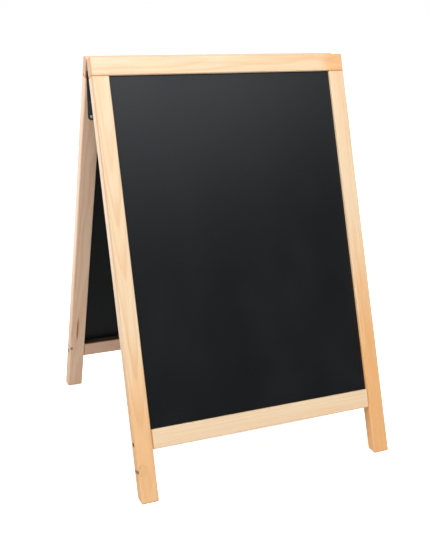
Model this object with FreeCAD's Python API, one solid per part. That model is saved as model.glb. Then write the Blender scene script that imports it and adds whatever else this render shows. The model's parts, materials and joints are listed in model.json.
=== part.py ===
import FreeCAD, Part
import math
import os

# Sandwich board: two timber frames, each holding a black writing panel, hinged together at the
# top by a pair of strap hinges. It stands open on its four legs. X runs across the board, -Y is
# the front and Z is up from the ground. All lengths are in millimetres.
#
# A frame is modelled upright: its inner face lies on y = 0, its outer face on y = -THICKNESS and
# its top edge on z = 0. It is then leaned out to its open place. The rear frame is the front
# frame turned half round.

# Driving dimensions of a frame
WIDTH = 550.0
LENGTH = 850.0  # top edge to foot, along the outer face
THICKNESS = 24.0
STILE = 34.5  # face width of a stile
TOP_RAIL = 35.5  # face height of the top rail
BOTTOM_RAIL = 37.5  # face height of the bottom rail
LEG = 99.0  # foot to the bottom rail, along the outer face
EDGE_ROUND = 2.5
MEETING_ROUND = 1.0  # edge where the two top rails meet when open
JOINT_LINE = 1.4  # depth of the small V along each joint between two timbers

# Panel, held in a groove that runs round the inside of the frame
PANEL_THICKNESS = 4.0
PANEL_RECESS = 6.5  # outer face of the frame to the face of the panel
GROOVE_DEPTH = 7.0
PANEL_EDGE_GAP = 0.5
PANEL_FACE_GAP = 0.1

# Opening
SPREAD_DEG = 37.7  # between the two frames when the top rails meet
STOP_GAP = 0.3  # left between the rounded meeting edges

# Joints of a frame
DOWEL_DIAMETER = 6.0
DOWEL_LENGTH = 36.0
TOP_DOWEL_PITCH = 13.0
BOTTOM_DOWEL_RISE = 6.0  # middle of the bottom rail up to its dowels
RAIL_SCREW = {"shank": 4.0, "length": 58.0, "head": 8.0, "head_height": 2.6, "point": 6.0}
RAIL_SCREW_DROP = 5.0  # middle of the bottom rail down to its screws
RAIL_SCREW_BORE = 9.0
RAIL_SCREW_RECESS = 8.0  # side of the stile to the screw's head

# Strap hinge
BARREL_DIAMETER = 9.0
BARREL_CLEARANCE = 0.3  # barrel to the inner face of either frame
KNUCKLE_WIDTHS = (10.4, 11.9, 10.4)  # the middle one belongs to the rear strap
KNUCKLE_GAP = 0.3
PIN_DIAMETER = 5.0
PIN_RUNNING_GAP = 0.05
PIN_HEAD_DIAMETER = 7.0
PIN_HEAD_HEIGHT = 0.6
LEAF_THICKNESS = 2.0
LEAF_ROUND = 0.5
LEAF_KNUCKLE_GAP = 0.5  # leaf to the other strap's knuckle
STRAP_TIP_RADIUS = 7.5
STRAP_TIP_DROP = 118.0  # top edge of the frame to the centre of the strap's tip
STRAP_SCREW_DROPS = (28.0, 55.0, 86.0, STRAP_TIP_DROP)
STRAP_SCREW = {"shank": 3.5, "length": 16.0, "head": 7.0, "head_height": 2.2, "point": 4.0}
STRAP_HOLE_GAP = 0.25

# Cross drive of every screw
DRIVE_WIDTH = 0.9
DRIVE_DEPTH = 1.1
DRIVE_SPAN = 0.6  # of the head's diameter

OVERRUN = 10.0  # how far a cutting tool passes the face it cuts

# Places that follow from them
HALF_WIDTH = WIDTH / 2
INSIDE = HALF_WIDTH - STILE
MIDDLE = -THICKNESS / 2
RAIL_BOTTOM = LENGTH - LEG
PANEL_BOTTOM = RAIL_BOTTOM - BOTTOM_RAIL
RAIL_MIDDLE = -(PANEL_BOTTOM + RAIL_BOTTOM) / 2
HINGE_X = HALF_WIDTH - STILE / 2
LEAN = math.radians(SPREAD_DEG / 2)
SETBACK = MEETING_ROUND * (math.cos(LEAN) + math.sin(LEAN) - 1) - STOP_GAP / 2
TOP_HEIGHT = LENGTH * math.cos(LEAN) - THICKNESS * math.sin(LEAN)
BARREL_RADIUS = BARREL_DIAMETER / 2
PIN_OUT = BARREL_RADIUS + BARREL_CLEARANCE  # inner face to the pin's axis
PIN_DROP = (SETBACK + PIN_OUT * math.cos(LEAN)) / math.sin(LEAN)
PIN_HEIGHT = TOP_HEIGHT - PIN_OUT * math.sin(LEAN) - PIN_DROP * math.cos(LEAN)
BARREL_LENGTH = sum(KNUCKLE_WIDTHS) + 2 * KNUCKLE_GAP

Vector = FreeCAD.Vector
ORIGIN = Vector(0, 0, 0)
X_AXIS = Vector(1, 0, 0)
Y_AXIS = Vector(0, 1, 0)
Z_AXIS = Vector(0, 0, 1)
SIDES = {"left": -1, "right": 1}


def box(low, high):
    """Box between two opposite corners."""
    size = [b - a for a, b in zip(low, high)]
    return Part.makeBox(*size, Vector(*low))


def prism(points, sweep):
    """Solid swept from the closed polygon through the points."""
    loop = [Vector(*point) for point in points]
    return Part.Face(Part.makePolygon(loop + loop[:1])).extrude(Vector(*sweep))


def rod(diameter, start, end):
    """Round rod between two points."""
    span = Vector(*end) - Vector(*start)
    return Part.makeCylinder(diameter / 2, span.Length, Vector(*start), span)


def frame_blank():
    """One frame in a single piece, feet cut level with the ground and edges rounded over."""
    outline = [(-HALF_WIDTH, 0), (HALF_WIDTH, 0), (HALF_WIDTH, -LENGTH), (INSIDE, -LENGTH)]
    outline += [(INSIDE, -RAIL_BOTTOM), (-INSIDE, -RAIL_BOTTOM)]
    outline += [(-INSIDE, -LENGTH), (-HALF_WIDTH, -LENGTH)]
    blank = prism([(x, -THICKNESS, z) for x, z in outline], (0, THICKNESS, 0))
    window = box((-INSIDE, -THICKNESS, -PANEL_BOTTOM), (INSIDE, 0, -TOP_RAIL))
    rise = (THICKNESS + OVERRUN) * math.tan(LEAN)
    ground = [(-THICKNESS, -LENGTH), (OVERRUN, rise - LENGTH)]
    ground += [(OVERRUN, -LENGTH - OVERRUN), (-THICKNESS, -LENGTH - OVERRUN)]
    wedge = prism([(-WIDTH, y, z) for y, z in ground], (2 * WIDTH, 0, 0))
    blank = blank.cut(window).cut(wedge)
    meeting = [edge for edge in blank.Edges if on_line(edge, y=0, z=0)]
    corners = [edge for edge in blank.Edges if is_inner_corner(edge)]
    rounded = [e for e in blank.Edges if not any(e.isSame(other) for other in meeting + corners)]
    blank = blank.makeFillet(EDGE_ROUND, rounded)
    meeting = [edge for edge in blank.Edges if on_line(edge, y=0, z=0)]
    return blank.makeFillet(MEETING_ROUND, meeting)


def on_line(edge, **place):
    """Whether both ends of an edge have the given coordinates."""
    ends = [vertex.Point for vertex in edge.Vertexes]
    return all(abs(getattr(end, axis) - at) < 1e-6 for end in ends for axis, at in place.items())


def is_inner_corner(edge):
    """Whether an edge runs through the frame where a rail meets a stile."""
    drops = (TOP_RAIL, PANEL_BOTTOM, RAIL_BOTTOM)
    return any(on_line(edge, x=side * INSIDE, z=-drop) for side in SIDES.values() for drop in drops)


def panel():
    """Writing panel, let into the groove on all four sides."""
    reach = GROOVE_DEPTH - PANEL_EDGE_GAP
    back = PANEL_RECESS + PANEL_THICKNESS - THICKNESS
    low = (-INSIDE - reach, PANEL_RECESS - THICKNESS, -PANEL_BOTTOM - reach)
    return box(low, (INSIDE + reach, back, reach - TOP_RAIL))


def groove():
    """Space of the groove round the inside of the frame."""
    front = PANEL_RECESS - PANEL_FACE_GAP - THICKNESS
    back = PANEL_RECESS + PANEL_THICKNESS + PANEL_FACE_GAP - THICKNESS
    low = (-INSIDE - GROOVE_DEPTH, front, -PANEL_BOTTOM - GROOVE_DEPTH)
    return box(low, (INSIDE + GROOVE_DEPTH, back, GROOVE_DEPTH - TOP_RAIL))


def vee(start, end):
    """Square bar on edge along a line, which cuts a V into the face that the line lies on."""
    first, last = Vector(*start), Vector(*end)
    run = last - first
    across = [axis for axis in (X_AXIS, Y_AXIS, Z_AXIS) if abs(axis.dot(run)) < 1e-6]
    section = [first + axis * step for step in (JOINT_LINE, -JOINT_LINE) for axis in across]
    return prism(section, run)


def joint_lines():
    """The V along each joint, on the outer, inner and side faces of a frame."""
    lines = []
    for side in SIDES.values():
        edge = side * INSIDE
        for y in (-THICKNESS, 0):
            lines.append(vee((edge, y, -TOP_RAIL), (side * WIDTH, y, -TOP_RAIL)))
            lines.append(vee((edge, y, -PANEL_BOTTOM), (edge, y, -RAIL_BOTTOM)))
        beside = side * HALF_WIDTH
        lines.append(vee((beside, -THICKNESS - OVERRUN, -TOP_RAIL), (beside, OVERRUN, -TOP_RAIL)))
    return lines


def members():
    """The four timbers of a frame, sawn out of the blank along their joint lines."""
    blank = frame_blank().cut(groove()).cut(joint_lines())
    near, far = -THICKNESS - OVERRUN, OVERRUN
    timbers = {
        "top_rail": box((-WIDTH, near, -TOP_RAIL), (WIDTH, far, OVERRUN)),
        "bottom_rail": box((-INSIDE, near, -RAIL_BOTTOM - OVERRUN), (INSIDE, far, OVERRUN - PANEL_BOTTOM)),
        "left_stile": box((-WIDTH, near, -LENGTH - OVERRUN), (-INSIDE, far, -TOP_RAIL)),
        "right_stile": box((INSIDE, near, -LENGTH - OVERRUN), (WIDTH, far, -TOP_RAIL)),
    }
    return {name: blank.common(space) for name, space in timbers.items()}


def top_dowels():
    """Pairs of dowels up from the stiles into the top rail."""
    low, high = -TOP_RAIL - DOWEL_LENGTH / 2, -TOP_RAIL + DOWEL_LENGTH / 2
    places = [side * (HINGE_X + step * TOP_DOWEL_PITCH / 2) for side in (-1, 1) for step in (-1, 1)]
    return [rod(DOWEL_DIAMETER, (x, MIDDLE, low), (x, MIDDLE, high)) for x in places]


def bottom_dowels():
    """A dowel from each stile into the end of the bottom rail, above the rail's screw."""
    level = RAIL_MIDDLE + BOTTOM_DOWEL_RISE
    ends = (INSIDE + DOWEL_LENGTH / 2, INSIDE - DOWEL_LENGTH / 2)
    return [rod(DOWEL_DIAMETER, *[(side * x, MIDDLE, level) for x in ends]) for side in SIDES.values()]


def screw_body(size, domed):
    """Pointed screw along -Z with no drive, the underside of a domed head or the top of a flat
    head on z = 0."""
    shank, head = size["shank"] / 2, size["head"] / 2
    height, length = size["head_height"], size["length"]
    tip = [Vector(shank, 0, size["point"] - length), Vector(0, 0, -length)]
    if domed:
        ball = (head**2 + height**2) / (2 * height)
        bulge = Vector(head / 2, 0, height - ball + math.sqrt(ball**2 - (head / 2) ** 2))
        crown = Part.Arc(Vector(0, 0, height), bulge, Vector(head, 0, 0)).toShape()
        under = [Vector(head, 0, 0), Vector(shank, 0, 0)]
        top = height
    else:
        crown = Part.makeLine(ORIGIN, Vector(head, 0, 0))
        under = [Vector(head, 0, 0), Vector(shank, 0, -height)]
        top = 0
    side = Part.makePolygon(under + tip + [Vector(0, 0, top)])
    profile = Part.Wire([crown] + side.Edges)
    return Part.Face(profile).revolve(ORIGIN, Z_AXIS, 360)


def screw(size, domed):
    """The screw with a cross drive sunk in its head."""
    top = size["head_height"] if domed else 0
    reach = size["head"] * DRIVE_SPAN / 2
    half = DRIVE_WIDTH / 2
    slots = [box((-reach, -half, top - DRIVE_DEPTH), (reach, half, top + OVERRUN))]
    slots.append(box((-half, -reach, top - DRIVE_DEPTH), (half, reach, top + OVERRUN)))
    return screw_body(size, domed).cut(slots[0]).cut(slots[1])


def aimed(shape, point, axis, turn_deg):
    """The shape turned about an axis through the origin and moved to a point."""
    placed = shape.copy()
    placed.rotate(ORIGIN, axis, turn_deg)
    placed.translate(Vector(*point))
    return placed


def rail_screws(make):
    """Screws from the sides of the stiles into the bottom rail, each at the bottom of a bore."""
    depth = HALF_WIDTH - RAIL_SCREW_RECESS
    level = RAIL_MIDDLE - RAIL_SCREW_DROP
    shape = make(RAIL_SCREW, domed=False)
    return [aimed(shape, (side * depth, MIDDLE, level), Y_AXIS, side * 90) for side in SIDES.values()]


def rail_screw_bores():
    """Bores that take the heads of the rail screws below the sides of the stiles."""
    level = RAIL_MIDDLE - RAIL_SCREW_DROP
    ends = (HALF_WIDTH - RAIL_SCREW_RECESS, HALF_WIDTH + OVERRUN)
    return [rod(RAIL_SCREW_BORE, *[(side * x, MIDDLE, level) for x in ends]) for side in SIDES.values()]


def strap_screws(make, side):
    """Screws of one strap, heads on the leaf."""
    shape = make(STRAP_SCREW, domed=True)
    return [aimed(shape, (side * HINGE_X, LEAF_THICKNESS, -drop), X_AXIS, -90) for drop in STRAP_SCREW_DROPS]


def knuckle_spans():
    """Start and end of each knuckle, from the middle of the barrel."""
    spans = []
    start = -BARREL_LENGTH / 2
    for width in KNUCKLE_WIDTHS:
        spans.append((start, start + width))
        start += width + KNUCKLE_GAP
    return spans


def leaf(side):
    """Tapered leaf with a round tip, its exposed edges eased."""
    start = -PIN_DROP - BARREL_RADIUS - LEAF_KNUCKLE_GAP
    run = STRAP_TIP_DROP + start
    half = BARREL_LENGTH / 2
    reach = math.hypot(half, run)
    slope = math.asin(STRAP_TIP_RADIUS / reach) - math.atan2(half, run)
    touch = (STRAP_TIP_RADIUS * math.cos(slope), STRAP_TIP_RADIUS * math.sin(slope))

    def at(x, z):
        return Vector(side * HINGE_X + x, 0, z)

    tangent = [at(sign * touch[0], touch[1] - STRAP_TIP_DROP) for sign in (-1, 1)]
    tip = Part.Arc(tangent[0], at(0, -STRAP_TIP_DROP - STRAP_TIP_RADIUS), tangent[1]).toShape()
    sides = Part.makePolygon([tangent[1], at(half, start), at(-half, start), tangent[0]])
    plate = Part.Face(Part.Wire([tip] + sides.Edges)).extrude(Vector(0, LEAF_THICKNESS, 0))
    exposed = [edge for edge in plate.Edges if on_line(edge, y=LEAF_THICKNESS)]
    return plate.makeFillet(LEAF_ROUND, exposed)


def strap(side, spans, bore):
    """One strap of a hinge: a leaf on the inner face, rolled into the knuckles it owns."""
    shape = leaf(side)
    root = -PIN_DROP - BARREL_RADIUS - LEAF_KNUCKLE_GAP - 2 * LEAF_ROUND
    for span in spans:
        low, high = [side * HINGE_X + x for x in span]
        shape = shape.fuse(box((low, 0, root), (high, LEAF_THICKNESS, -PIN_DROP)))
        shape = shape.fuse(rod(BARREL_DIAMETER, (low, PIN_OUT, -PIN_DROP), (high, PIN_OUT, -PIN_DROP)))
    ends = [(side * HINGE_X + x, PIN_OUT, -PIN_DROP) for x in (-BARREL_LENGTH, BARREL_LENGTH)]
    shape = shape.cut(rod(bore, *ends)).removeSplitter()
    hole = STRAP_SCREW["shank"] + 2 * STRAP_HOLE_GAP
    for drop in STRAP_SCREW_DROPS:
        ends = [(side * HINGE_X, y, -drop) for y in (-OVERRUN, OVERRUN)]
        shape = shape.cut(rod(hole, *ends))
    return shape


def pin(side):
    """Hinge pin with a peened head at each end of the barrel."""
    ends = [(side * HINGE_X + step * BARREL_LENGTH / 2, PIN_OUT, -PIN_DROP) for step in (-1, 1)]
    shape = rod(PIN_DIAMETER, *ends)
    base, crown = PIN_HEAD_DIAMETER / 2, PIN_DIAMETER / 2
    for end, step in zip(ends, (-1, 1)):
        head = Part.makeCone(base, crown, PIN_HEAD_HEIGHT, Vector(*end), Vector(step, 0, 0))
        shape = shape.fuse(head)
    return shape.removeSplitter()


def stand(shape, frame):
    """A piece of an upright frame leaned out to its open place."""
    placed = aimed(shape, (0, SETBACK, TOP_HEIGHT), X_AXIS, -SPREAD_DEG / 2)
    if frame == "rear":
        placed.rotate(ORIGIN, Z_AXIS, 180)
    return placed


def save(name, solids, frame):
    """Write a node: one solid, or a group of separate ones."""
    placed = [stand(solid, frame) for solid in solids]
    shape = placed[0] if len(placed) == 1 else Part.makeCompound(placed)
    shape.exportStep(f"parts/{name}.step")


def build():
    """Make every piece of the two frames and their hinges."""
    timbers = members()
    drilled = top_dowels() + bottom_dowels() + rail_screws(screw_body) + rail_screw_bores()
    drilled += strap_screws(screw_body, -1) + strap_screws(screw_body, 1)
    for name, timber in timbers.items():
        timbers[name] = timber.cut(Part.makeCompound(drilled)).Solids[0]
    first, middle, last = knuckle_spans()
    owned = {"front": (first, last), "rear": (middle,)}
    bores = {"front": PIN_DIAMETER, "rear": PIN_DIAMETER + 2 * PIN_RUNNING_GAP}
    for frame in ("front", "rear"):
        turned = 1 if frame == "front" else -1
        names = {sign * turned: word for word, sign in SIDES.items()}
        save(f"{frame}_top_rail", [timbers["top_rail"]], frame)
        save(f"{frame}_bottom_rail", [timbers["bottom_rail"]], frame)
        save(f"{frame}_{names[-1]}_stile", [timbers["left_stile"]], frame)
        save(f"{frame}_{names[1]}_stile", [timbers["right_stile"]], frame)
        save(f"{frame}_panel", [panel()], frame)
        save(f"{frame}_top_dowels", top_dowels(), frame)
        save(f"{frame}_bottom_dowels", bottom_dowels(), frame)
        save(f"{frame}_rail_screws", rail_screws(screw), frame)
        for side in (-1, 1):
            word = names[side]
            save(f"{word}_hinge_{frame}_strap", [strap(side, owned[frame], bores[frame])], frame)
            save(f"{word}_hinge_{frame}_screws", strap_screws(screw, side), frame)
    for word, side in SIDES.items():
        save(f"{word}_hinge_pin", [pin(side)], "front")


build()
print(f"pin axis {PIN_HEIGHT:.4f} above the ground, {PIN_DROP:.4f} below the top edge")
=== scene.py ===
import json
import math
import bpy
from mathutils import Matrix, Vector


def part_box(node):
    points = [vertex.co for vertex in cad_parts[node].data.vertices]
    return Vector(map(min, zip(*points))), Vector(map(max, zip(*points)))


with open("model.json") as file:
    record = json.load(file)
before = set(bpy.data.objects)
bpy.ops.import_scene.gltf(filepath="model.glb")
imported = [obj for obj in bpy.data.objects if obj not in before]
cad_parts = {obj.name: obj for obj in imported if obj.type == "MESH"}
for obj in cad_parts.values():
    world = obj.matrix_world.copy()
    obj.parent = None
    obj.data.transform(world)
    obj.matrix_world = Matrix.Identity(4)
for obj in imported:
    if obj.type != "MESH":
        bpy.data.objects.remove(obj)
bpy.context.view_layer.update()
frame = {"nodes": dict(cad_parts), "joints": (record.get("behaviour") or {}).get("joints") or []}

from types import SimpleNamespace

import bpy
from mathutils import Euler, Matrix, Vector

# A folding sandwich board: finishes for its pale timbers, black writing panels and strap hinges,
# a plain stage and a camera. Lengths are in metres. Grain space is a timber's own frame of
# reference: X across its face, Y through its thickness, Z along its grain, origin at its middle.

bl_info = {
    "name": "Sandwich Board",
    "version": (1, 0, 0),
    "blender": (4, 5, 0),
    "location": "View3D > Sidebar > Sandwich Board",
    "description": "Finishes the timbers, writing panels and strap hinges of a folding sandwich board",
    "category": "Object",
}

SPREAD = math.radians(frame["joints"][0]["range_deg"][1])
LEAN = SPREAD / 2
MM = 0.001


# ---------------------------------------------------------------- settings


def colour(label, text, value):
    """A colour setting of a finish."""
    return bpy.props.FloatVectorProperty(
        name=label, description=text, default=value, size=3, subtype="COLOR", min=0, max=1
    )


def length(label, text, value):
    """A length setting in metres."""
    return bpy.props.FloatProperty(
        name=label, description=text, default=value, min=0, unit="LENGTH", subtype="DISTANCE"
    )


def share(label, text, value):
    """A setting between nothing and all."""
    return bpy.props.FloatProperty(
        name=label, description=text, default=value, min=0, max=1, subtype="FACTOR"
    )


class TimberSettings(bpy.types.PropertyGroup):
    early: colour("Early wood", "Pale wood between the growth rings", (0.82, 0.64, 0.435))
    late: colour("Late wood", "Tint that darkens each growth ring", (0.86, 0.66, 0.48))
    heart: colour("Heartwood", "Orange patches and resin", (0.80, 0.42, 0.155))
    # Painted light: a pinker tint laid over the rear frame for the colour of its shaded, bounce-lit
    # faces
    rose: colour("Rosy wood", "Pinkish timber", (0.85, 0.57, 0.43))
    knot: colour("Knot", "Core of a knot", (0.16, 0.06, 0.022))
    resin: colour("Resin", "Streak of resin", (0.42, 0.135, 0.045))
    # Painted shade and scorch: near-black for the shaded hinge gaps and rail recess, and for a drilled
    # hole's wall, which is in shade and partly scorched
    burnt: colour("Burnt wood", "Scorched wall of a drilled hole", (0.035, 0.02, 0.013))
    stain: colour("Joint stain", "Wood in the V along a joint and at the cut ends", (0.56, 0.235, 0.075))
    ring: length("Ring spacing", "Distance between growth rings", 2.8 * MM)
    edge: length("Edge width", "Width of the rubbed band along the edges", 3.0 * MM)
    contrast: share("Ring contrast", "How strongly the rings show", 0.45)


class PanelSettings(bpy.types.PropertyGroup):
    paint: colour("Paint", "Matt black writing surface", (0.0014, 0.0016, 0.0026))
    chalk: colour("Chalk haze", "Film of wiped chalk", (0.42, 0.43, 0.45))
    haze: share("Haze", "Strength of the chalk film", 0.005)


class MetalSettings(bpy.types.PropertyGroup):
    lacquer: colour("Lacquer", "Black lacquer of the straps and pins", (0.038, 0.038, 0.045))
    zinc: colour("Zinc", "Plating of the strap screws", (0.66, 0.64, 0.60))
    blackened: colour("Blackened steel", "Screws sunk in the stiles", (0.10, 0.09, 0.085))


class StageSettings(bpy.types.PropertyGroup):
    floor: colour("Floor", "Plain pale floor", (0.84, 0.84, 0.84))
    reach: length("Floor reach", "Side of the floor", 160.0)
    lens: bpy.props.FloatProperty(
        name="Lens", description="Focal length of the camera", default=57.3, unit="CAMERA"
    )


# ---------------------------------------------------------------- node helpers


class Graph:
    """Adds nodes to a node tree and wires them up. A value can be a socket or a constant."""

    def __init__(self, tree):
        self.tree = tree

    def put(self, socket, value):
        """Links a socket, or sets its value."""
        if isinstance(value, bpy.types.NodeSocket):
            self.tree.links.new(value, socket)
        else:
            socket.default_value = value

    def node(self, kind, values=(), **settings):
        """A node with its settings and the values of its named inputs."""
        made = self.tree.nodes.new(kind)
        for name, value in settings.items():
            setattr(made, name, value)
        for name, value in dict(values).items():
            self.put(made.inputs[name], value)
        return made

    def math(self, operation, *values, clamp=False):
        """Result of a Math node."""
        made = self.node("ShaderNodeMath", enumerate(values), operation=operation, use_clamp=clamp)
        return made.outputs[0]

    def vector(self, operation, *values):
        """Vector result of a Vector Math node."""
        made = self.node("ShaderNodeVectorMath", enumerate(values), operation=operation)
        return made.outputs[0]

    def length(self, value):
        """Length of a vector."""
        made = self.node("ShaderNodeVectorMath", [(0, value)], operation="LENGTH")
        return made.outputs["Value"]

    def split(self, value):
        """The three numbers of a vector."""
        return self.node("ShaderNodeSeparateXYZ", [("Vector", value)]).outputs

    def join(self, x, y, z):
        """A vector of three numbers."""
        return self.node("ShaderNodeCombineXYZ", [("X", x), ("Y", y), ("Z", z)]).outputs[0]

    def step(self, value, low, high):
        """Smooth rise from 0 at low to 1 at high."""
        values = [("Value", value), ("From Min", low), ("From Max", high)]
        made = self.node("ShaderNodeMapRange", values, interpolation_type="SMOOTHSTEP")
        return made.outputs["Result"]

    def fall(self, value, low, high):
        """Smooth fall from 1 at low to 0 at high."""
        return self.math("SUBTRACT", 1.0, self.step(value, low, high))

    def noise(self, vector, scale, detail=2.0, roughness=0.5):
        """Noise between 0 and 1."""
        values = [("Vector", vector), ("Scale", scale), ("Detail", detail), ("Roughness", roughness)]
        return self.node("ShaderNodeTexNoise", values).outputs["Fac"]

    def mix(self, factor, first, second, blend="MIX"):
        """Mix of two colours."""
        made = self.node("ShaderNodeMix", data_type="RGBA", blend_type=blend)
        for name, value in (("Factor_Float", factor), ("A_Color", first), ("B_Color", second)):
            self.put(next(s for s in made.inputs if s.identifier == name), value)
        return next(s for s in made.outputs if s.identifier == "Result_Color")

    def group(self, tree, values):
        """A node group placed in the tree."""
        made = self.tree.nodes.new("ShaderNodeGroup")
        made.node_tree = tree
        for name, value in values.items():
            self.put(made.inputs[name], value)
        return made.outputs


def rgba(value):
    """A colour setting with full alpha."""
    return (*value, 1.0)


def grey(level):
    """A grey with full alpha."""
    return (level, level, level, 1.0)


def new_group(name, inputs, outputs):
    """An empty shader node group with its sockets. Returns its graph, inputs and output node."""
    tree = bpy.data.node_groups.new(name, "ShaderNodeTree")
    for label, kind, value in inputs:
        socket = tree.interface.new_socket(label, in_out="INPUT", socket_type=f"NodeSocket{kind}")
        socket.default_value = value
    for label in outputs:
        tree.interface.new_socket(label, in_out="OUTPUT", socket_type="NodeSocketFloat")
    graph = Graph(tree)
    given = tree.nodes.new("NodeGroupInput").outputs
    result = tree.nodes.new("NodeGroupOutput").inputs
    return graph, given, result


# ---------------------------------------------------------------- shared effects


# Grain. A scale of three numbers is for X, Y and Z of grain space, in features per metre. A band
# is where a soft step starts and where it is complete. Knot distances are in radii of the knot.
KNOT_SHAPE = (1.0, 0.15, 0.68)
KNOT_RAGGED_SCALE = 130.0
KNOT_RAGGEDNESS = 0.5
KNOT_CORE = (0.60, 1.0)
KNOT_YEARS = (0.7, 1.5)
KNOT_YEAR_RATE = 24.0
KNOT_YEAR_SHARE = 0.09
BARK_START = (0.80, 1.0)
BARK_END = (1.0, 1.2)
BARK_GAPS = (0.30, 0.65)
BARK_SHARE = 0.34
KNOT_PULL_FALL = -0.16
KNOT_PULL = -0.75
DRIFT_SCALE = (18.0, 18.0, 3.0)
RING_RISE = (0.30, 0.86)
RING_FALL = (0.88, 1.0)
YEAR_SCALE = 3.7
YEAR_SPREAD = 1.2
YEAR_LEAST = 0.1
FINE_SCALE = (1100.0, 1100.0, 16.0)
BROAD_SCALE = (260.0, 260.0, 4.5)
BROAD_SHARE = 0.55
PORE_SCALE = (1500.0, 1500.0, 90.0)
PORE_BAND = (0.68, 0.78)
TONE_SCALE = (30.0, 30.0, 3.5)
HALO_SHARE = 0.25
RING_HEIGHT = -0.4
KNOT_HEIGHT = -0.5


def grain_group():
    """Growth rings, fibres and two knots of a sawn timber, in grain space."""
    inputs = [
        ("Vector", "Vector", (0, 0, 0)),
        ("Pith", "Vector", (0.01, 0.06, 0)),
        ("Drift", "Vector", (0.01, 0.01, 0)),
        ("Ring Spacing", "Float", 0.003),
        ("Wobble", "Float", 3.0),
        ("Seed", "Float", 0.0),
        ("Knot A", "Vector", (9, 0, 0)),
        ("Knot A Radius", "Float", 0.004),
        ("Knot A Core", "Float", 1.0),
        ("Knot B", "Vector", (9, 0, 0)),
        ("Knot B Radius", "Float", 0.004),
        ("Knot B Core", "Float", 1.0),
    ]
    outputs = ["Rings", "Fibres", "Pores", "Tone", "Knots", "Height"]
    g, given, result = new_group("timber_grain", inputs, outputs)
    place = given["Vector"]
    x, y, z = g.split(place)
    rough = g.noise(place, KNOT_RAGGED_SCALE, detail=1.0)
    knots = 0.0
    halo = 0.0
    for knot in ("Knot A", "Knot B"):
        offset = g.vector("SUBTRACT", place, given[knot])
        shaped = g.vector("MULTIPLY", offset, KNOT_SHAPE)
        away = g.math("DIVIDE", g.length(shaped), given[f"{knot} Radius"])
        ragged = g.math("MULTIPLY_ADD", rough, KNOT_RAGGEDNESS, -KNOT_RAGGEDNESS / 2)
        away = g.math("ADD", away, ragged)
        core = g.math("MULTIPLY", g.fall(away, *KNOT_CORE), given[f"{knot} Core"])
        wave = g.math("SINE", g.math("MULTIPLY", away, KNOT_YEAR_RATE))
        years = g.math("MULTIPLY_ADD", wave, 0.5, 0.5)
        years = g.math("MULTIPLY", years, g.fall(away, *KNOT_YEARS))
        bark = g.math("MULTIPLY", g.step(away, *BARK_START), g.fall(away, *BARK_END))
        bark = g.math("MULTIPLY", bark, g.step(rough, *BARK_GAPS))
        bark = g.math("MULTIPLY", bark, BARK_SHARE)
        ringed = g.math("MULTIPLY_ADD", years, KNOT_YEAR_SHARE, bark)
        knots = g.math("MAXIMUM", knots, g.math("MAXIMUM", core, ringed))
        squared = g.math("POWER", away, 2.0)
        pull = g.math("EXPONENT", g.math("MULTIPLY", squared, KNOT_PULL_FALL))
        halo = g.math("MAXIMUM", halo, pull)
        bend = g.math("MULTIPLY", g.split(offset)[0], g.math("MULTIPLY", pull, KNOT_PULL))
        x = g.math("ADD", x, bend)
    seeded = g.vector("ADD", place, g.join(given["Seed"], 0.0, given["Seed"]))
    slow = g.noise(g.vector("MULTIPLY", seeded, DRIFT_SCALE), 1.0)
    drifted = g.vector("MULTIPLY", g.join(z, z, z), given["Drift"])
    pith = g.vector("ADD", given["Pith"], drifted)
    from_pith = g.vector("SUBTRACT", g.join(x, y, z), pith)
    radial = g.length(g.vector("MULTIPLY", from_pith, (1, 1, 0)))
    count = g.math("DIVIDE", radial, given["Ring Spacing"])
    count = g.math("MULTIPLY_ADD", g.math("SUBTRACT", slow, 0.5), given["Wobble"], count)
    part = g.math("FRACT", count)
    year = g.noise(g.join(g.math("FLOOR", count), given["Seed"], 0.0), YEAR_SCALE, detail=0.0)
    rings = g.math("SUBTRACT", g.step(part, *RING_RISE), g.step(part, *RING_FALL))
    rings = g.math("MULTIPLY", rings, g.math("MULTIPLY_ADD", year, YEAR_SPREAD, YEAR_LEAST))
    fine = g.noise(g.vector("MULTIPLY", seeded, FINE_SCALE), 1.0, detail=3.0, roughness=0.65)
    broad = g.noise(g.vector("MULTIPLY", seeded, BROAD_SCALE), 1.0, detail=3.0, roughness=0.6)
    fibres = g.math("MULTIPLY_ADD", broad, BROAD_SHARE, g.math("MULTIPLY", fine, 1 - BROAD_SHARE))
    pores = g.noise(g.vector("MULTIPLY", seeded, PORE_SCALE), 1.0, detail=1.0)
    tone = g.noise(g.vector("MULTIPLY", seeded, TONE_SCALE), 1.0, detail=3.0)
    clear = g.math("SUBTRACT", 1.0, knots)
    g.put(result["Rings"], g.math("MULTIPLY", rings, clear, clamp=True))
    g.put(result["Fibres"], fibres)
    g.put(result["Pores"], g.step(pores, *PORE_BAND))
    g.put(result["Tone"], g.math("MULTIPLY_ADD", halo, HALO_SHARE, tone, clamp=True))
    g.put(result["Knots"], knots)
    lines = g.math("MULTIPLY_ADD", rings, RING_HEIGHT, fibres)
    g.put(result["Height"], g.math("MULTIPLY_ADD", knots, KNOT_HEIGHT, lines))
    return g.tree


# Rubbed edges and cut ends of a timber. The end band is in edge widths.
EDGE_STRETCH = (1.0, 1.0, 0.25)
EDGE_RAGGED_SCALE = 240.0
END_BAND = (0.35, 0.75)


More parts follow.
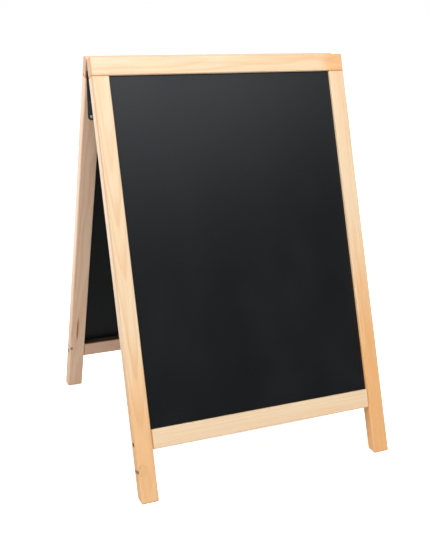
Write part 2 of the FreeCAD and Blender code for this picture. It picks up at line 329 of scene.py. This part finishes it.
def edge_group():
    """Bands along the edges and at the ends of a squared timber, broken up a little."""
    inputs = [
        ("Vector", "Vector", (0, 0, 0)),
        ("Half Size", "Vector", (0.02, 0.01, 0.4)),
        ("Width", "Float", 0.003),
        ("Breakup", "Float", 0.6),
    ]
    g, given, result = new_group("worn_edges", inputs, ["Edges", "Ends"])
    stretched = g.vector("MULTIPLY", given["Vector"], EDGE_STRETCH)
    ragged = g.noise(stretched, EDGE_RAGGED_SCALE, detail=3.0)
    ragged = g.math("MULTIPLY", g.math("SUBTRACT", ragged, 0.5), given["Breakup"])
    inside = g.vector("SUBTRACT", given["Half Size"], g.vector("ABSOLUTE", given["Vector"]))
    x, y, z = g.split(inside)
    long_edge = g.math("MAXIMUM", x, y)
    end_edge = g.math("MAXIMUM", z, g.math("MINIMUM", x, y))
    nearest = g.math("DIVIDE", g.math("MINIMUM", long_edge, end_edge), given["Width"])
    nearest = g.math("ADD", nearest, ragged)
    g.put(result["Edges"], g.fall(nearest, 0.0, 1.0))
    depth = g.math("ADD", g.math("DIVIDE", z, given["Width"]), ragged)
    g.put(result["Ends"], g.fall(depth, *END_BAND))
    return g.tree


# Unevenness of a patch, drawn out along the grain
PATCH_SCALE = (160.0, 160.0, 14.0)


def patch_group():
    """A soft, uneven patch of given radii, such as heartwood, resin, a scuff or painted shade."""
    inputs = [
        ("Vector", "Vector", (0, 0, 0)),
        ("Centre", "Vector", (0, 0, 0)),
        ("Radii", "Vector", (0.01, 0.01, 0.05)),
        ("Breakup", "Float", 0.7),
        ("Softness", "Float", 0.6),
    ]
    g, given, result = new_group("soft_patch", inputs, ["Mask"])
    offset = g.vector("SUBTRACT", given["Vector"], given["Centre"])
    away = g.length(g.vector("DIVIDE", offset, given["Radii"]))
    uneven = g.noise(g.vector("MULTIPLY", given["Vector"], PATCH_SCALE), 1.0, detail=3.0)
    away = g.math("MULTIPLY_ADD", g.math("SUBTRACT", uneven, 0.5), given["Breakup"], away)
    inner = g.math("SUBTRACT", 1.0, given["Softness"])
    g.put(result["Mask"], g.fall(away, inner, 1.0))
    return g.tree


# Wiped clouds of dust or chalk, and the specks left in them
WIPE_STRETCH = (1.0, 1.0, 0.45)
CLOUD_BAND = (0.35, 0.75)
SPECK_BAND = (0.62, 0.75)
SPECKED_BAND = (0.4, 0.65)


def dust_group():
    """A thin film of dust or chalk: broad wiped clouds with fine specks in them."""
    inputs = [
        ("Vector", "Vector", (0, 0, 0)),
        ("Cloud Scale", "Float", 9.0),
        ("Speck Scale", "Float", 900.0),
    ]
    g, given, result = new_group("dust_film", inputs, ["Film", "Specks"])
    swept = g.vector("MULTIPLY", given["Vector"], WIPE_STRETCH)
    clouds = g.noise(swept, given["Cloud Scale"], detail=5.0, roughness=0.6)
    specks = g.noise(given["Vector"], given["Speck Scale"], roughness=0.6)
    g.put(result["Film"], g.step(clouds, *CLOUD_BAND))
    specked = g.math("MULTIPLY", g.step(specks, *SPECK_BAND), g.step(clouds, *SPECKED_BAND))
    g.put(result["Specks"], specked)
    return g.tree


def shared(name, build):
    """A shared node group, built the first time it is asked for."""
    return bpy.data.node_groups.get(name) or build()


# ---------------------------------------------------------------- finishes


def new_material(name):
    """An empty material. Returns it with its graph and Principled BSDF."""
    material = bpy.data.materials.new(name)
    material.use_nodes = True
    material.node_tree.nodes.clear()
    graph = Graph(material.node_tree)
    shader = graph.node("ShaderNodeBsdfPrincipled")
    output = graph.node("ShaderNodeOutputMaterial")
    graph.put(output.inputs["Surface"], shader.outputs["BSDF"])
    return material, graph, shader


def bump(graph, shader, height, strength, distance):
    """A Bump node between a height and the shader's normal."""
    values = [("Height", height), ("Strength", strength), ("Distance", distance)]
    graph.put(shader.inputs["Normal"], graph.node("ShaderNodeBump", values).outputs["Normal"])


def dress(node, material):
    """Gives a node its finish in every material slot."""
    mesh = frame["nodes"][node].data
    if not mesh.materials:
        mesh.materials.append(material)
    for index in range(len(mesh.materials)):
        mesh.materials[index] = material


def grain_space(node, along_x):
    """Turn, middle and half size of a timber's grain space."""
    lean = LEAN if node.startswith("front") else -LEAN
    turn = Euler((lean, -math.pi / 2 if along_x else 0.0, 0.0), "XYZ")
    corners = [turn.to_matrix() @ vertex.co for vertex in frame["nodes"][node].data.vertices]
    low = Vector([min(corner[axis] for corner in corners) for axis in range(3)])
    high = Vector([max(corner[axis] for corner in corners) for axis in range(3)])
    return SimpleNamespace(turn=turn, middle=(low + high) / 2, half=(high - low) / 2)


# How each timber was sawn and shaded: the pith's place and its drift along the timber, up to two knots
# (place, radius and darkness of the core) and soft patches (colour, place, radii and strength); some
# patches are painted shade, and the rear timbers carry a painted tint for their shade.
# A timber with fewer knots has the rest out of reach.
NO_KNOT = ((9.0, 0.0, 0.0), 0.004, 0.0)
# Painted light: every rear timber tinted pinker, standing in for the colour its faces take in shade and
# bounce light
REAR_SHADE_TINT = ("rose", (0.0, 0.0, 0.0), (0.2, 0.2, 1.6), 0.6)
STILE_WOOD = dict(pith=(0.016, 0.075), drift=(0.012, 0.01), seed=1.0, knots=(), patches=())
RAIL_WOOD = dict(pith=(-0.07, 0.035), drift=(0.004, 0.006), seed=5.0, knots=(), patches=())
TIMBERS = {
    "front_top_rail": dict(
        RAIL_WOOD,
        seed=3.0,
        pith=(-0.01, 0.055),
        patches=(
            ("heart", (0.0, 0.0, 0.265), (0.05, 0.06, 0.052), 0.70),
            ("heart", (0.0, 0.0, 0.25), (0.06, 0.06, 0.36), 0.16),
        ),
    ),
    "front_bottom_rail": dict(RAIL_WOOD, seed=8.5),
    "front_left_stile": dict(
        STILE_WOOD,
        pith=(0.002, -0.0536),
        drift=(0.004, 0.022),
        knots=(((-0.0085, 0.0, -0.344), 0.0072, 0.0), ((-0.0179, -0.006, -0.346), 0.0031, 1.0)),
        patches=(
            ("heart", (0.0, 0.0, -0.40), (0.06, 0.06, 0.38), 0.62),
            ("resin", (-0.0170, -0.0120, 0.20), (0.0026, 0.0060, 0.42), 0.35),
        ),
    ),
    "front_right_stile": dict(
        STILE_WOOD,
        seed=12.0,
        pith=(-0.05, -0.05),
        patches=(("heart", (0.0, 0.0, -0.40), (0.06, 0.06, 0.55), 0.85),),
    ),
    "rear_top_rail": dict(
        RAIL_WOOD,
        seed=17.0,
        patches=(
            REAR_SHADE_TINT,
            # Painted shade: the inner face darkened at both ends, where the V gap between the two frames
            # lies in shade
            ("burnt", (0.004, -0.0120, -0.275), (0.030, 0.0034, 0.034), 0.95),
            ("burnt", (0.004, -0.0120, 0.275), (0.030, 0.0034, 0.034), 0.95),
        ),
    ),
    "rear_bottom_rail": dict(
        RAIL_WOOD,
        seed=21.0,
        patches=(
            REAR_SHADE_TINT,
            ("resin", (0.0, 0.0, 0.0), (0.2, 0.2, 1.2), 0.22),
            # Painted shade: a dark band along the top face of the recess behind the panel, which lies in
            # shade
            ("burnt", (-0.0190, -0.0060, 0.0), (0.0030, 0.0150, 6.0), 0.95),
        ),
    ),
    "rear_left_stile": dict(
        STILE_WOOD,
        seed=27.0,
        knots=(((-0.0140, 0.0, -0.280), 0.0042, 0.9),),
        patches=(
            REAR_SHADE_TINT,
            ("resin", (-0.002, -0.012, -0.225), (0.0030, 0.006, 0.044), 0.95),
        ),
    ),
    "rear_right_stile": dict(
        STILE_WOOD,
        seed=33.0,
        pith=(0.02, 0.05),
        knots=(((0.006, 0.012, 0.09), 0.0062, 0.8),),
        patches=(REAR_SHADE_TINT,),
    ),
}


def bore_place(stile, space):
    """Mouth of the bore that sinks a rail screw in a stile, in the stile's grain space."""
    low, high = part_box(f"{stile.split('_')[0]}_rail_screws")
    side = 0 if "left" in stile else 1
    mouth = Vector((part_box(stile)[side][0], (low[1] + high[1]) / 2, (low[2] + high[2]) / 2))
    return space.turn.to_matrix() @ mouth - space.middle


# How much of each effect shows on a timber, the painted shade and scorch round a bore's mouth, and what
# adds to the roughness
FIBRE_SHARE = 1.5
FIBRE_LEVEL = -0.70
TONE_BAND = (0.40, 0.80)
TONE_SHARE = 0.30
BORE_RADII = (0.020, 0.0049, 0.0049)
BORE_BREAKUP = 0.04
BORE_SOFTNESS = 0.08
BORE_SHARE = 0.9
PORE_SHARE = 0.22
KNOT_SHARE = 0.85
EDGE_SHARE = 0.14
END_SHARE = 1.0
TOP_RAIL_END_SHARE = 0.6
TIMBER_ROUGHNESS = 0.28
FIBRE_ROUGHNESS = 0.16
EDGE_ROUGHNESS = 0.10
TONE_ROUGHNESS = 0.10


def timber_material(node, wood, settings):
    """Clear-finished softwood with its own rings, knots and patches."""
    material, g, shader = new_material(f"timber_{node}")
    space = grain_space(node, along_x="rail" in node)
    here = g.node("ShaderNodeTexCoord").outputs["Object"]
    values = [("Vector", here), ("Rotation", space.turn), ("Location", -space.middle)]
    place = g.node("ShaderNodeMapping", values, vector_type="POINT").outputs["Vector"]
    sawn = {
        "Vector": place,
        "Pith": (*wood["pith"], 0.0),
        "Drift": (*wood["drift"], 0.0),
        "Ring Spacing": settings.ring,
        "Seed": wood["seed"],
    }
    for letter, knot in zip("AB", (*wood["knots"], NO_KNOT, NO_KNOT)):
        sawn[f"Knot {letter}"], sawn[f"Knot {letter} Radius"], sawn[f"Knot {letter} Core"] = knot
    grain = g.group(shared("timber_grain", grain_group), sawn)
    bands = {"Vector": place, "Half Size": space.half, "Width": settings.edge}
    edges = g.group(shared("worn_edges", edge_group), bands)
    fibres = g.math("MULTIPLY_ADD", grain["Fibres"], FIBRE_SHARE, FIBRE_LEVEL)
    shown = g.math("MULTIPLY_ADD", grain["Rings"], settings.contrast, fibres, clamp=True)
    tone = g.math("MULTIPLY", g.step(grain["Tone"], *TONE_BAND), TONE_SHARE)
    base = g.mix(tone, rgba(settings.early), rgba(settings.heart))
    # Patches, among them painted shade and the rear frame's painted tint
    for tint, centre, radii, strength in wood["patches"]:
        patch = {"Vector": place, "Centre": centre, "Radii": radii}
        mask = g.group(shared("soft_patch", patch_group), patch)["Mask"]
        base = g.mix(g.math("MULTIPLY", mask, strength), base, rgba(getattr(settings, tint)))
    base = g.mix(shown, base, rgba(settings.late), "MULTIPLY")
    # Painted shade with some scorch: the bore's mouth and wall darkened where the hole lies in shade
    if "stile" in node:
        bore = {
            "Vector": place,
            "Centre": bore_place(node, space),
            "Radii": BORE_RADII,
            "Breakup": BORE_BREAKUP,
            "Softness": BORE_SOFTNESS,
        }
        mask = g.group(shared("soft_patch", patch_group), bore)["Mask"]
        base = g.mix(g.math("MULTIPLY", mask, BORE_SHARE), base, rgba(settings.burnt))
    base = g.mix(g.math("MULTIPLY", grain["Pores"], PORE_SHARE), base, rgba(settings.stain))
    base = g.mix(g.math("MULTIPLY", grain["Knots"], KNOT_SHARE), base, rgba(settings.knot))
    base = g.mix(g.math("MULTIPLY", edges["Edges"], EDGE_SHARE), base, rgba(settings.stain))
    ends = TOP_RAIL_END_SHARE if "top_rail" in node else END_SHARE
    base = g.mix(g.math("MULTIPLY", edges["Ends"], ends), base, rgba(settings.stain))
    g.put(shader.inputs["Base Color"], base)
    rough = g.math("MULTIPLY_ADD", grain["Fibres"], FIBRE_ROUGHNESS, TIMBER_ROUGHNESS)
    rough = g.math("MULTIPLY_ADD", edges["Edges"], EDGE_ROUGHNESS, rough)
    rough = g.math("MULTIPLY_ADD", grain["Tone"], TONE_ROUGHNESS, rough)
    g.put(shader.inputs["Roughness"], rough)
    bump(g, shader, grain["Height"], strength=0.20, distance=0.3 * MM)
    return material


# Writing paint: chalk wiped over it, the roller's nap and its low sheen
WIPE_SCALE = 6.0
SPECKS_TO_HAZE = 1.5
NAP_SCALE = 1100.0
PAINT_ROUGHNESS = 0.41
FILM_ROUGHNESS = 0.06
NAP_ROUGHNESS = 0.05
PAINT_SHEEN_LEVEL = 0.46
PAINT_SHEEN_TINT = (0.90, 0.95, 1.0)


def panel_material(settings):
    """Matt black writing paint with a wiped film of chalk and the faint nap of a roller."""
    material, g, shader = new_material("writing_paint")
    here = g.node("ShaderNodeTexCoord").outputs["Object"]
    film = g.group(shared("dust_film", dust_group), {"Vector": here, "Cloud Scale": WIPE_SCALE})
    haze = g.math("MULTIPLY", film["Film"], settings.haze)
    haze = g.math("MULTIPLY_ADD", film["Specks"], settings.haze * SPECKS_TO_HAZE, haze)
    g.put(shader.inputs["Base Color"], g.mix(haze, rgba(settings.paint), rgba(settings.chalk)))
    nap = g.noise(here, NAP_SCALE)
    rough = g.math("MULTIPLY_ADD", film["Film"], FILM_ROUGHNESS, PAINT_ROUGHNESS)
    g.put(shader.inputs["Roughness"], g.math("MULTIPLY_ADD", nap, NAP_ROUGHNESS, rough))
    shader.inputs["Specular IOR Level"].default_value = PAINT_SHEEN_LEVEL
    shader.inputs["Specular Tint"].default_value = rgba(PAINT_SHEEN_TINT)
    bump(g, shader, nap, strength=0.06, distance=0.2 * MM)
    return material


# Dust, scratches and dimples of the metal parts
DUST = (0.45, 0.42, 0.38)
DUST_SCALE = 60.0
DUST_SHARE = 0.05
DUST_ROUGHNESS = 0.10
SCRATCH_SCALE = (2600.0, 300.0, 300.0)
SCRATCH_BAND = (0.60, 0.72)
SCRATCH_ROUGHNESS = 0.10
DIMPLE_SCALE = 1500.0


def metal_material(name, tint, metallic, roughness, wear):
    """Lacquered, plated or blackened metal with fine scratches and a little dust."""
    material, g, shader = new_material(name)
    here = g.node("ShaderNodeTexCoord").outputs["Object"]
    film = g.group(shared("dust_film", dust_group), {"Vector": here, "Cloud Scale": DUST_SCALE})
    scratches = g.noise(g.vector("MULTIPLY", here, SCRATCH_SCALE), 1.0, detail=3.0, roughness=0.7)
    rubbed = g.step(scratches, *SCRATCH_BAND)
    pale = tuple(min(1.0, channel * 2.0 + 0.04) for channel in tint)
    base = g.mix(g.math("MULTIPLY", rubbed, wear), rgba(tint), rgba(pale))
    base = g.mix(g.math("MULTIPLY", film["Film"], DUST_SHARE), base, rgba(DUST))
    g.put(shader.inputs["Base Color"], base)
    shader.inputs["Metallic"].default_value = metallic
    rough = g.math("MULTIPLY_ADD", film["Film"], DUST_ROUGHNESS, roughness)
    g.put(shader.inputs["Roughness"], g.math("MULTIPLY_ADD", rubbed, SCRATCH_ROUGHNESS, rough))
    bump(g, shader, g.noise(here, DIMPLE_SCALE), strength=0.08, distance=0.2 * MM)
    return material


# ---------------------------------------------------------------- operators


def named(*endings):
    """CAD nodes whose names end in one of these."""
    found = sorted(name for name in frame["nodes"] if name.endswith(endings))
    if not found:
        raise RuntimeError(f"the frame has no node ending in {endings}")
    return found


class BOARD_OT_timbers(bpy.types.Operator):
    """Finish the rails and stiles"""

    bl_idname = "board.timbers"
    bl_label = "Finish Timbers"

    def execute(self, context):
        for node, wood in TIMBERS.items():
            dress(node, timber_material(node, wood, context.scene.board_timber))
        return {"FINISHED"}


class BOARD_OT_dowels(bpy.types.Operator):
    """Finish the dowels inside the joints"""

    bl_idname = "board.dowels"
    bl_label = "Finish Dowels"

    def execute(self, context):
        settings = context.scene.board_timber
        for node in named("_dowels"):
            wood = dict(RAIL_WOOD if "bottom" in node else STILE_WOOD, seed=40.0)
            dress(node, timber_material(node, wood, settings))
        return {"FINISHED"}


class BOARD_OT_panels(bpy.types.Operator):
    """Paint the writing panels"""

    bl_idname = "board.panels"
    bl_label = "Paint Panels"

    def execute(self, context):
        material = panel_material(context.scene.board_panel)
        for node in named("_panel"):
            dress(node, material)
        return {"FINISHED"}


class BOARD_OT_hinges(bpy.types.Operator):
    """Lacquer the straps and pins of the hinges"""

    bl_idname = "board.hinges"
    bl_label = "Lacquer Hinges"

    def execute(self, context):
        tint = tuple(context.scene.board_metal.lacquer)
        material = metal_material("black_lacquer", tint, metallic=0.0, roughness=0.34, wear=0.35)
        for node in named("_strap", "_pin"):
            dress(node, material)
        return {"FINISHED"}


class BOARD_OT_screws(bpy.types.Operator):
    """Plate the strap screws and blacken the rail screws"""

    bl_idname = "board.screws"
    bl_label = "Finish Screws"

    def execute(self, context):
        settings = context.scene.board_metal
        zinc = tuple(settings.zinc)
        black = tuple(settings.blackened)
        bright = metal_material("bright_zinc", zinc, metallic=1.0, roughness=0.26, wear=0.5)
        dark = metal_material("blackened_steel", black, metallic=1.0, roughness=0.40, wear=0.3)
        for node in named("_screws"):
            dress(node, dark if "rail" in node else bright)
        return {"FINISHED"}


# Soft lights: place, the point each is aimed at, size, power in watts and whether it is mirrored
# in glossy faces
LIGHTS = {
    "key": ((0.14, -1.25, 1.86), (0.03, -0.15, 0.55), (1.8, 0.7), 17.6, True),
    "side": ((-3.6, -0.9, 3.3), (0.0, 0.0, 0.45), (3.0, 3.0), 120.0, True),
    "fill": ((-0.9, -3.4, 0.35), (0.0, 0.2, 0.45), (2.6, 0.6), 23.5, False),
    "back": ((1.8, 3.2, 2.0), (0.0, 0.1, 0.45), (2.4, 1.6), 60.0, False),
}

# Greys of the stage. Y rises towards the back. Bands are in metres on the floor and in parts of
# a unit direction on the world.
FLOOR_MIRRORED = 0.45
FLOOR_TO_CAMERA = 0.75
FLOOR_GLOW = 1.4
FLOOR_GLOW_BAND = (0.3, 1.6)
WALL_FRONT = 0.05
WALL_BEHIND = 0.33
WALL_BAND = (-0.1, 0.7)
WALL_OVERHEAD = 0.80
OVERHEAD_BAND = (0.45, 0.95)
BACKDROP_BAND = (0.2, 0.8)
BLACK = 0.0
WHITE = 1.0

# Camera: yaw turns it to the right of straight ahead, pitch tips it down, roll leans it over
CAMERA_PLACE = (-0.7116, -1.6366, 0.9004)
CAMERA_YAW = math.radians(23.43)
CAMERA_PITCH = math.radians(17.15)
CAMERA_ROLL = math.radians(0.63)
CAMERA_CLIP_END = 200.0


def softbox(name, place, target, size, power, in_gloss):
    """A soft light aimed at a point, with or without a reflection in glossy faces."""
    data = bpy.data.lights.new(name, "AREA")
    data.shape = "RECTANGLE"
    data.size, data.size_y = size
    data.energy = power
    lamp = bpy.data.objects.new(name, data)
    lamp.location = place
    lamp.visible_glossy = in_gloss
    lamp.rotation_euler = (Vector(target) - Vector(place)).to_track_quat("-Z", "Y").to_euler()
    bpy.context.scene.collection.objects.link(lamp)


class BOARD_OT_stage(bpy.types.Operator):
    """Set up the floor, the studio light and the camera"""

    bl_idname = "board.stage"
    bl_label = "Set Up Stage"

    def execute(self, context):
        scene = context.scene
        settings = scene.board_stage
        scene.view_settings.view_transform = "Standard"
        self.floor(settings)
        self.world(scene)
        for name, light in LIGHTS.items():
            softbox(name, *light)
        self.camera(scene, settings)
        return {"FINISHED"}

    def floor(self, settings):
        """A plain floor, pale to the camera, that glows behind the board in glossy faces."""
        half = settings.reach / 2
        mesh = bpy.data.meshes.new("floor")
        corners = [(-half, -half, 0), (half, -half, 0), (half, half, 0), (-half, half, 0)]
        mesh.from_pydata(corners, [], [(0, 1, 2, 3)])
        floor = bpy.data.objects.new("floor", mesh)
        bpy.context.scene.collection.objects.link(floor)
        material, g, shader = new_material("pale_floor")
        mirrored = g.node("ShaderNodeLightPath").outputs["Is Glossy Ray"]
        pale = g.mix(mirrored, rgba(settings.floor), grey(FLOOR_MIRRORED))
        g.put(shader.inputs["Base Color"], pale)
        depth = g.split(g.node("ShaderNodeTexCoord").outputs["Object"])[1]
        lit = g.math("MULTIPLY", mirrored, g.step(depth, *FLOOR_GLOW_BAND))
        glow = g.mix(lit, grey(BLACK), grey(FLOOR_GLOW))
        seen = g.node("ShaderNodeLightPath").outputs["Is Camera Ray"]
        g.put(shader.inputs["Emission Color"], g.mix(seen, glow, grey(FLOOR_TO_CAMERA)))
        shader.inputs["Emission Strength"].default_value = 1.0
        shader.inputs["Roughness"].default_value = 0.9
        shader.inputs["Specular IOR Level"].default_value = 0.1
        mesh.materials.append(material)

    def world(self, scene):
        """Studio walls and a light overhead, with a white backdrop to the camera."""
        world = bpy.data.worlds.new("studio")
        world.use_nodes = True
        world.node_tree.nodes.clear()
        g = Graph(world.node_tree)
        _, behind, height = g.split(g.node("ShaderNodeTexCoord").outputs["Generated"])
        walls = g.mix(g.step(behind, *WALL_BAND), grey(WALL_FRONT), grey(WALL_BEHIND))
        walls = g.mix(g.step(height, *OVERHEAD_BAND), walls, grey(WALL_OVERHEAD))
        seen = g.node("ShaderNodeLightPath").outputs["Is Camera Ray"]
        glossy = g.node("ShaderNodeLightPath").outputs["Is Glossy Ray"]
        backdrop = g.math("MULTIPLY", glossy, g.step(behind, *BACKDROP_BAND))
        walls = g.mix(backdrop, walls, grey(WHITE))
        shown = g.mix(seen, walls, grey(WHITE))
        background = g.node("ShaderNodeBackground", [("Color", shown), ("Strength", 1.0)])
        output = g.node("ShaderNodeOutputWorld")
        g.put(output.inputs["Surface"], background.outputs[0])
        scene.world = world

    def camera(self, scene, settings):
        """A camera in front of the board and to its left, looking down a little."""
        data = bpy.data.cameras.new("camera")
        data.lens = settings.lens
        data.clip_end = CAMERA_CLIP_END
        camera = bpy.data.objects.new("camera", data)
        turn = Matrix.Rotation(-CAMERA_YAW, 4, "Z")
        turn = turn @ Matrix.Rotation(math.pi / 2 - CAMERA_PITCH, 4, "X")
        turn = turn @ Matrix.Rotation(CAMERA_ROLL, 4, "Z")
        camera.matrix_world = Matrix.Translation(CAMERA_PLACE) @ turn
        scene.collection.objects.link(camera)
        scene.camera = camera


class BOARD_PT_panel(bpy.types.Panel):
    """Steps that finish the sandwich board"""

    bl_idname = "BOARD_PT_panel"
    bl_label = "Sandwich Board"
    bl_space_type = "VIEW_3D"
    bl_region_type = "UI"
    bl_category = "Sandwich Board"

    def draw(self, context):
        for step in STEPS:
            self.layout.operator(step.bl_idname)
        for group in SETTINGS:
            settings = getattr(context.scene, group)
            for name in settings.bl_rna.properties.keys():
                if name not in ("name", "rna_type"):
                    self.layout.prop(settings, name)


STEPS = (
    BOARD_OT_timbers,
    BOARD_OT_dowels,
    BOARD_OT_panels,
    BOARD_OT_hinges,
    BOARD_OT_screws,
    BOARD_OT_stage,
)
SETTINGS = {
    "board_timber": TimberSettings,
    "board_panel": PanelSettings,
    "board_metal": MetalSettings,
    "board_stage": StageSettings,
}


def register():
    """Registers the settings, the steps and the panel."""
    for settings in SETTINGS.values():
        bpy.utils.register_class(settings)
    for name, settings in SETTINGS.items():
        setattr(bpy.types.Scene, name, bpy.props.PointerProperty(type=settings))
    for step in STEPS:
        bpy.utils.register_class(step)
    bpy.utils.register_class(BOARD_PT_panel)


def unregister():
    """Takes back everything that register did."""
    bpy.utils.unregister_class(BOARD_PT_panel)
    for step in reversed(STEPS):
        bpy.utils.unregister_class(step)
    for name in SETTINGS:
        delattr(bpy.types.Scene, name)
    for settings in reversed(SETTINGS.values()):
        bpy.utils.unregister_class(settings)


def main():
    """Registers the add-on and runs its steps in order."""
    register()
    bpy.ops.board.timbers()
    bpy.ops.board.dowels()
    bpy.ops.board.panels()
    bpy.ops.board.hinges()
    bpy.ops.board.screws()
    bpy.ops.board.stage()


if __name__ == "__main__":
    main()
